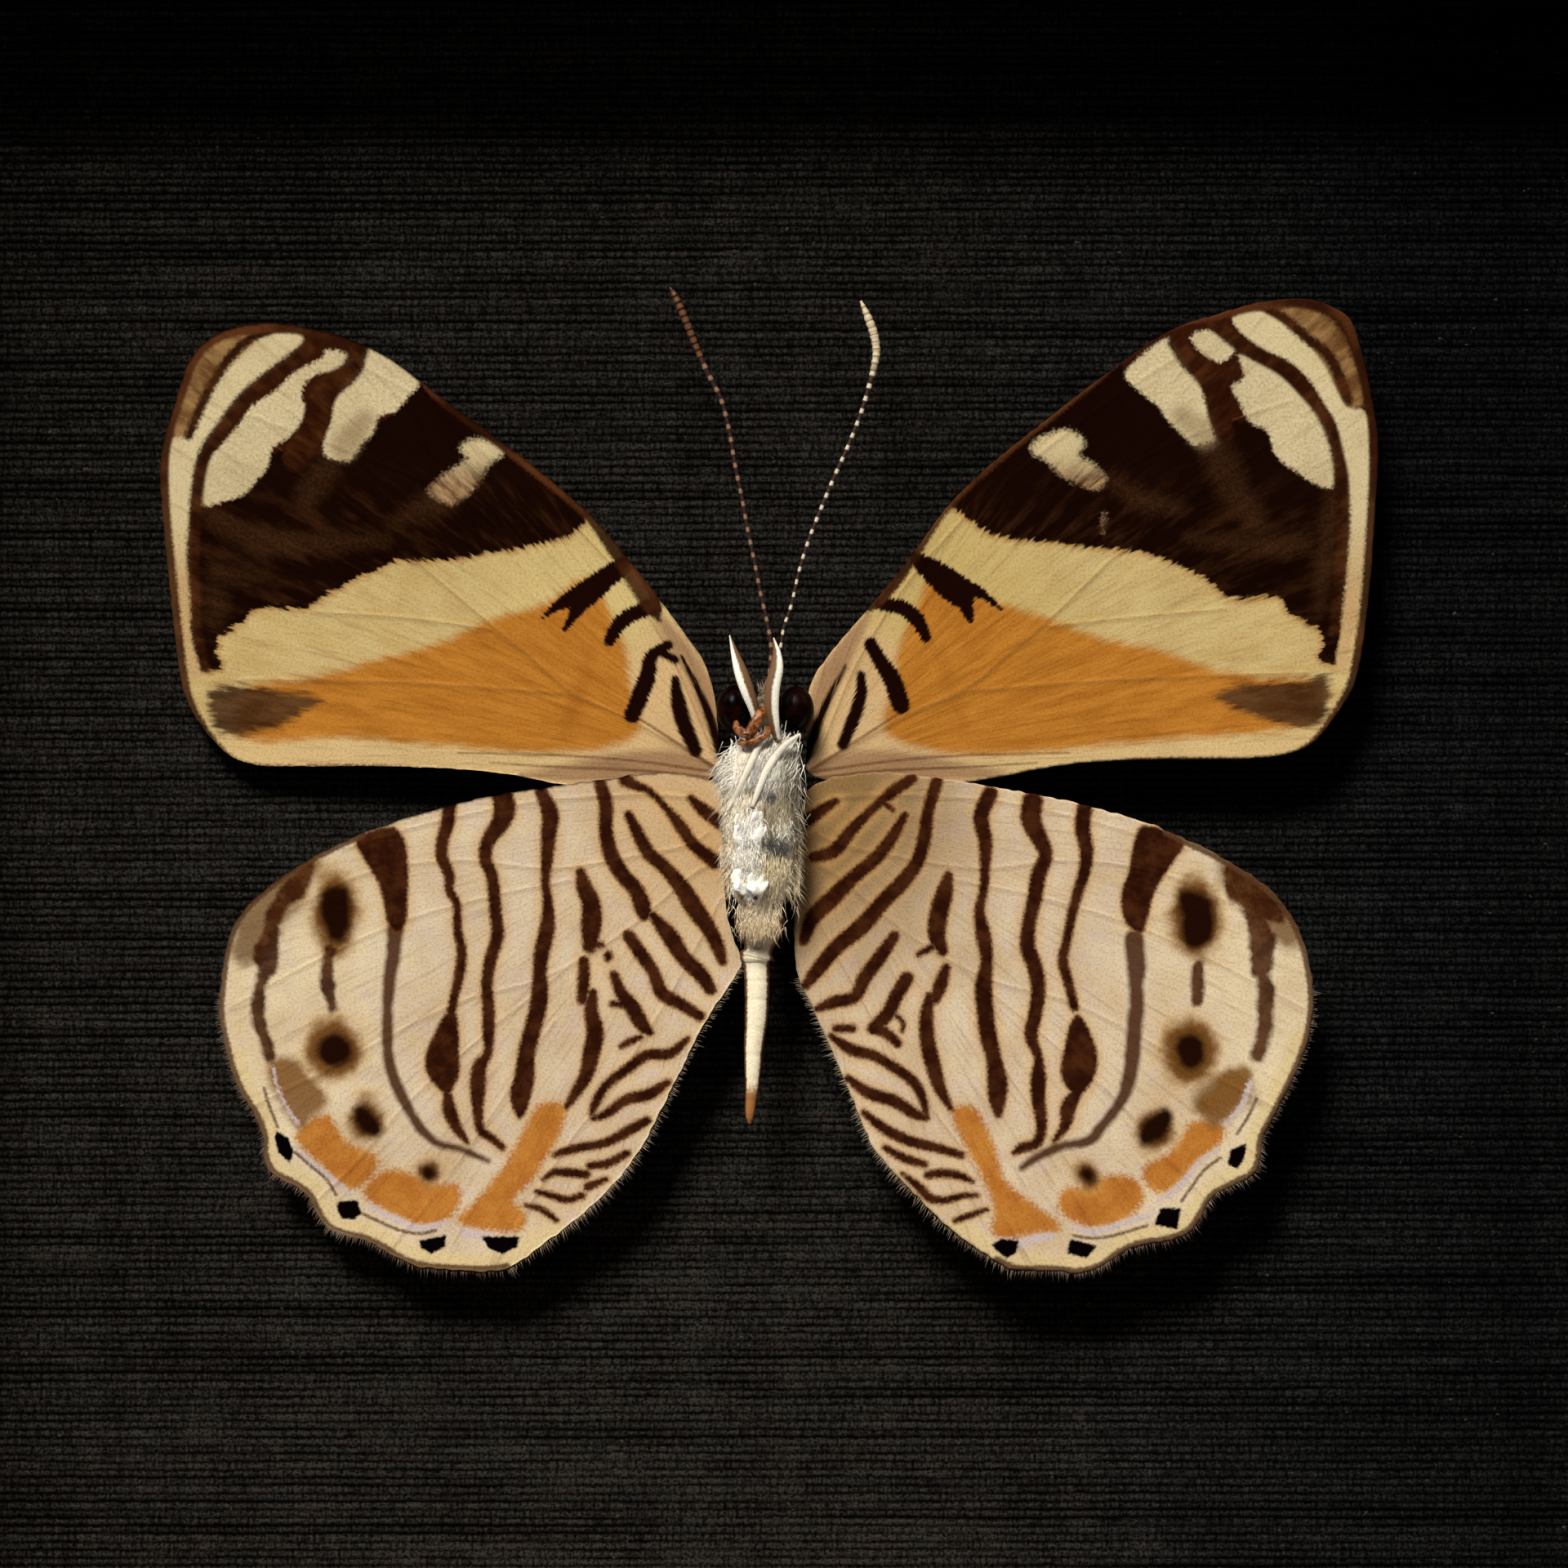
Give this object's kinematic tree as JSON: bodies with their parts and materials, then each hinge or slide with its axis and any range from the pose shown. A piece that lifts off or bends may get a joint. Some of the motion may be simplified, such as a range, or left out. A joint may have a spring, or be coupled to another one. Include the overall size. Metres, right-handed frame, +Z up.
{
  "type": "insect collection drawer",
  "caption": "Open wooden drawer with a pinning board, linen-finish lining paper and a mounted butterfly shown underside up.",
  "frame": {"origin": "centre of the drawer's underside, without the knob", "axes": "+Z up out of the open drawer, +Y towards its back, where the butterfly's head points, and -Y towards the knob; left is -X and right is +X as seen from above"},
  "size_m": [0.086, 0.096, 0.0225],
  "materials": {
    "wall_wood": "satin",
    "knob_wood": "satin",
    "panel_wood": "matte",
    "board": "matte foam",
    "paper": "matte, linen embossed",
    "glue": "glossy",
    "hair": "furry",
    "abdomen": "matte",
    "eye": "glossy",
    "scales": "matte scales",
    "horn": "satin",
    "antenna": "matte"
  },
  "bodies": {
    "root": {"drawer_front": "wall_wood", "drawer_back": "wall_wood", "drawer_side_left": "wall_wood", "drawer_side_right": "wall_wood", "drawer_knob": "knob_wood", "drawer_bottom": "panel_wood", "pinning_board": "board", "lining_paper": "paper", "glue_dab": "glue", "thorax": "hair", "abdomen": "abdomen", "head": "hair", "eye_left": "eye", "eye_right": "eye", "palp_left": "scales", "palp_right": "scales", "proboscis": "horn", "antenna_left": "antenna", "antenna_right": "antenna", "foreleg_left": "scales", "foreleg_right": "scales", "forewing_left": "scales", "forewing_right": "scales", "hindwing_left": "scales", "hindwing_right": "scales"}
  },
  "joints": []
}
